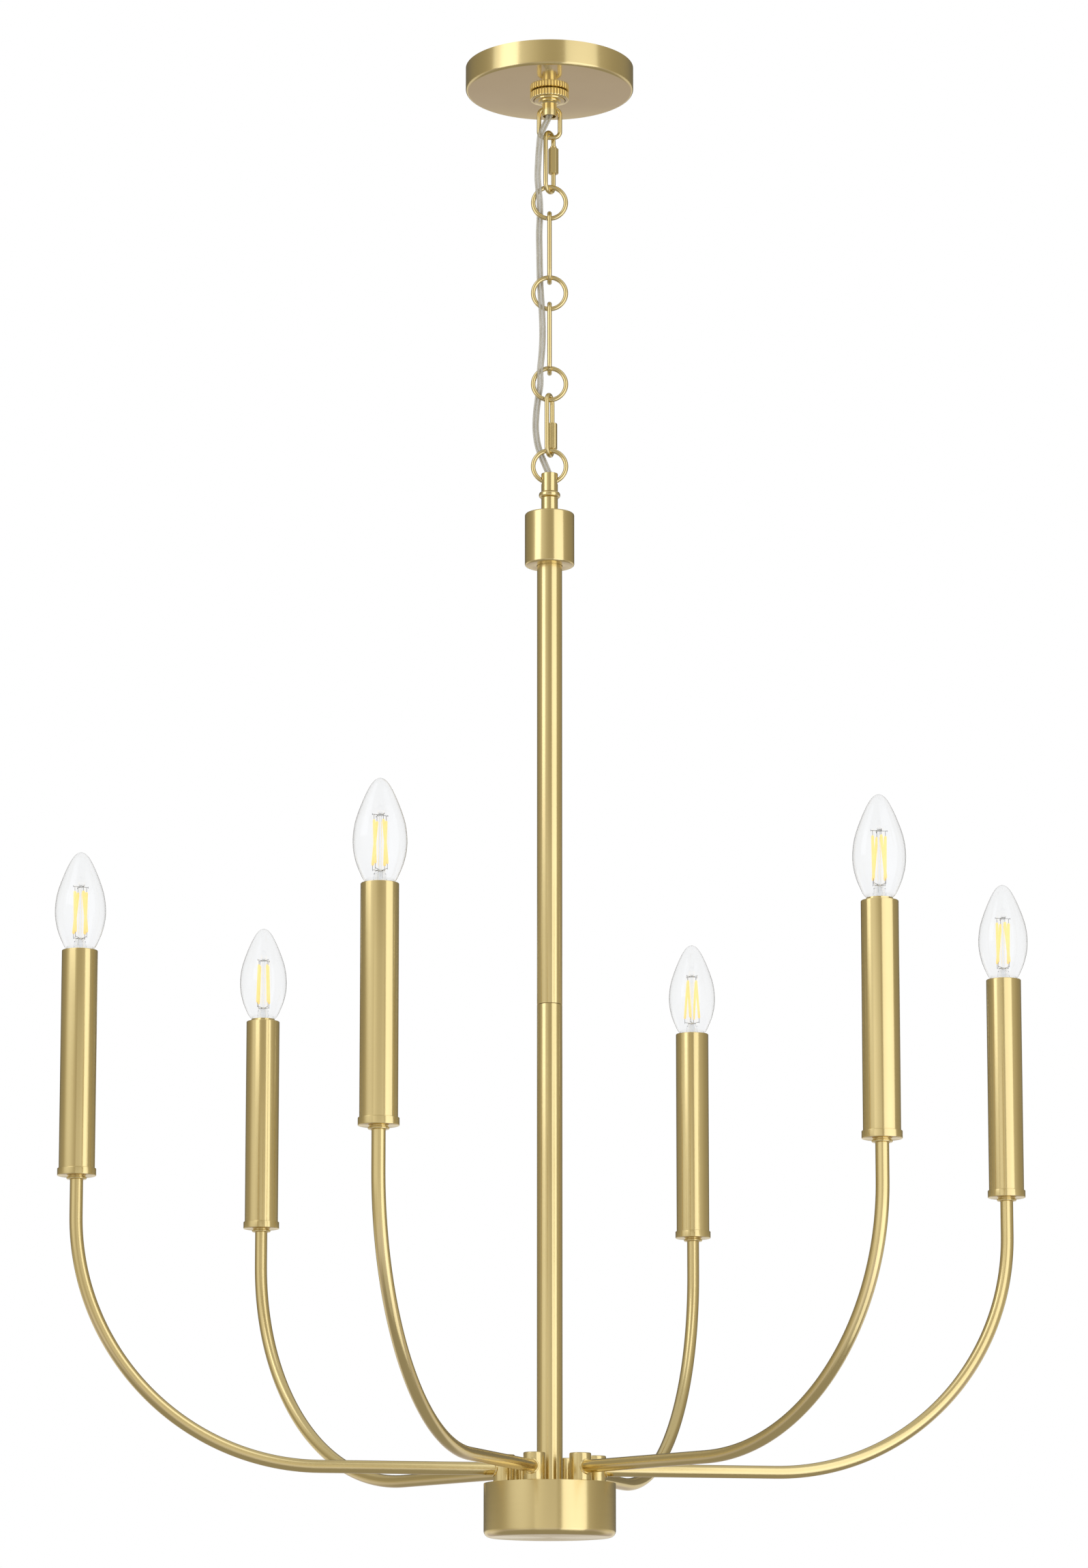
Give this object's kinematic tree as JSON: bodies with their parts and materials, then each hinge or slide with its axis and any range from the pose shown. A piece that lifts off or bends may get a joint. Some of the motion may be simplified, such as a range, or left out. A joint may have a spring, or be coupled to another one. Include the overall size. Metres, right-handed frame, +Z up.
{
  "type": "multi arm chandelier",
  "caption": "Satin brass candle chandelier hung on a chain of rings and links, with curved arms on a drum hub and a central rod.",
  "frame": {"origin": "middle of the ceiling plane, where the crossbar's top face and the canopy's rim touch the ceiling", "axes": "+Z up, -Y towards the front, +X to the right seen from the front; everything hangs below z = 0"},
  "size_m": [0.7174, 0.691, 1.1113],
  "materials": {
    "satin_brass": "satin brushed champagne brass, clear lacquer",
    "zinc_steel": "zinc plated",
    "socket_ceramic": "white moulded",
    "bulb_glass": "clear blown glass",
    "clear_cord": "clear vinyl over silver and copper strands"
  },
  "bodies": {
    "ceiling_mount": {"crossbar": "zinc_steel", "threaded_nipple": "zinc_steel", "collar_loop": "satin_brass", "supply_cord": "clear_cord"},
    "collar_ring": {"collar_ring": "satin_brass"},
    "canopy": {"canopy": "satin_brass"},
    "link_1": {"link_1": "satin_brass"},
    "quick_link_top": {"quick_link_top": "satin_brass"},
    "quick_link_top_nut": {"quick_link_top_nut": "satin_brass"},
    "ring_1": {"ring_1": "satin_brass"},
    "long_link_1": {"long_link_1": "satin_brass"},
    "ring_2": {"ring_2": "satin_brass"},
    "long_link_2": {"long_link_2": "satin_brass"},
    "ring_3": {"ring_3": "satin_brass"},
    "quick_link_bottom": {"quick_link_bottom": "satin_brass"},
    "quick_link_bottom_nut": {"quick_link_bottom_nut": "satin_brass"},
    "ring_4": {"ring_4": "satin_brass"},
    "fixture": {"stem_loop": "satin_brass", "coupling": "satin_brass", "upper_rod": "satin_brass", "lower_rod": "satin_brass", "hub_locknut": "zinc_steel", "hub_cup": "satin_brass", "hub_plate": "satin_brass", "post_1": "satin_brass", "arm_1": "satin_brass", "candle_cup_1": "satin_brass", "sleeve_1": "satin_brass", "socket_1": "socket_ceramic", "post_2": "satin_brass", "arm_2": "satin_brass", "candle_cup_2": "satin_brass", "sleeve_2": "satin_brass", "socket_2": "socket_ceramic", "post_3": "satin_brass", "arm_3": "satin_brass", "candle_cup_3": "satin_brass", "sleeve_3": "satin_brass", "socket_3": "socket_ceramic", "post_4": "satin_brass", "arm_4": "satin_brass", "candle_cup_4": "satin_brass", "sleeve_4": "satin_brass", "socket_4": "socket_ceramic", "post_5": "satin_brass", "arm_5": "satin_brass", "candle_cup_5": "satin_brass", "sleeve_5": "satin_brass", "socket_5": "socket_ceramic", "post_6": "satin_brass", "arm_6": "satin_brass", "candle_cup_6": "satin_brass", "sleeve_6": "satin_brass", "socket_6": "socket_ceramic"},
    "bulb_1": {"bulb_1": "bulb_glass"},
    "bulb_2": {"bulb_2": "bulb_glass"},
    "bulb_3": {"bulb_3": "bulb_glass"},
    "bulb_4": {"bulb_4": "bulb_glass"},
    "bulb_5": {"bulb_5": "bulb_glass"},
    "bulb_6": {"bulb_6": "bulb_glass"}
  },
  "joints": [
    {"name": "collar_ring_drop", "type": "slide", "parent": "ceiling_mount", "child": "collar_ring", "axis": [0, 0, -1], "range_m": [0, 0.025], "deforming": ["supply_cord"]},
    {"name": "canopy_drop", "type": "slide", "parent": "ceiling_mount", "child": "canopy", "axis": [0, 0, -1], "range_m": [0, 0.025]},
    {"name": "link_1_swing", "type": "hinge", "parent": "ceiling_mount", "child": "link_1", "pos_m": [0, 0, -0.0322], "axis": [1, 0, 0], "range_deg": [-15, 15]},
    {"name": "quick_link_top_swing", "type": "hinge", "parent": "link_1", "child": "quick_link_top", "pos_m": [0, 0, -0.0545], "axis": [-1, 0, 0], "range_deg": [-20, 20]},
    {"name": "ring_1_swing", "type": "hinge", "parent": "quick_link_top", "child": "ring_1", "pos_m": [0, 0, -0.0973], "axis": [0.5299, 0.848, 0], "range_deg": [-20, 20]},
    {"name": "long_link_1_swing", "type": "hinge", "parent": "ring_1", "child": "long_link_1", "pos_m": [0, 0, -0.1182], "axis": [1, 0, 0], "range_deg": [-20, 20]},
    {"name": "ring_2_swing", "type": "hinge", "parent": "long_link_1", "child": "ring_2", "pos_m": [0, 0, -0.1681], "axis": [0, -1, 0], "range_deg": [-20, 20]},
    {"name": "long_link_2_swing", "type": "hinge", "parent": "ring_2", "child": "long_link_2", "pos_m": [0, 0, -0.189], "axis": [-1, 0, 0], "range_deg": [-20, 20]},
    {"name": "ring_3_swing", "type": "hinge", "parent": "long_link_2", "child": "ring_3", "pos_m": [0, 0, -0.2389], "axis": [0, 1, 0], "range_deg": [-20, 20]},
    {"name": "quick_link_bottom_swing", "type": "hinge", "parent": "ring_3", "child": "quick_link_bottom", "pos_m": [0, 0, -0.2598], "axis": [1, 0, 0], "range_deg": [-20, 20]},
    {"name": "ring_4_swing", "type": "hinge", "parent": "quick_link_bottom", "child": "ring_4", "pos_m": [0, 0, -0.3026], "axis": [-0.3584, -0.9336, 0], "range_deg": [-20, 20]},
    {"name": "fixture_swing", "type": "hinge", "parent": "ring_4", "child": "fixture", "pos_m": [0, 0, -0.3235], "axis": [-1, 0, 0], "range_deg": [-20, 20]},
    {"name": "quick_link_top_nut_travel", "type": "slide", "parent": "quick_link_top", "child": "quick_link_top_nut", "axis": [0, 0, -1], "range_m": [0, 0.0095]},
    {"name": "quick_link_bottom_nut_travel", "type": "slide", "parent": "quick_link_bottom", "child": "quick_link_bottom_nut", "axis": [0, 0, 1], "range_m": [0, 0.0095]},
    {"name": "bulb_1_unscrew", "type": "slide", "parent": "fixture", "child": "bulb_1", "axis": [0, 0, 1], "range_m": [0, 0.035]},
    {"name": "bulb_2_unscrew", "type": "slide", "parent": "fixture", "child": "bulb_2", "axis": [0, 0, 1], "range_m": [0, 0.035]},
    {"name": "bulb_3_unscrew", "type": "slide", "parent": "fixture", "child": "bulb_3", "axis": [0, 0, 1], "range_m": [0, 0.035]},
    {"name": "bulb_4_unscrew", "type": "slide", "parent": "fixture", "child": "bulb_4", "axis": [0, 0, 1], "range_m": [0, 0.035]},
    {"name": "bulb_5_unscrew", "type": "slide", "parent": "fixture", "child": "bulb_5", "axis": [0, 0, 1], "range_m": [0, 0.035]},
    {"name": "bulb_6_unscrew", "type": "slide", "parent": "fixture", "child": "bulb_6", "axis": [0, 0, 1], "range_m": [0, 0.035]}
  ],
  "couplings": [
    {"joint": "collar_ring_drop", "follows": "canopy_drop", "ratio": 1}
  ]
}
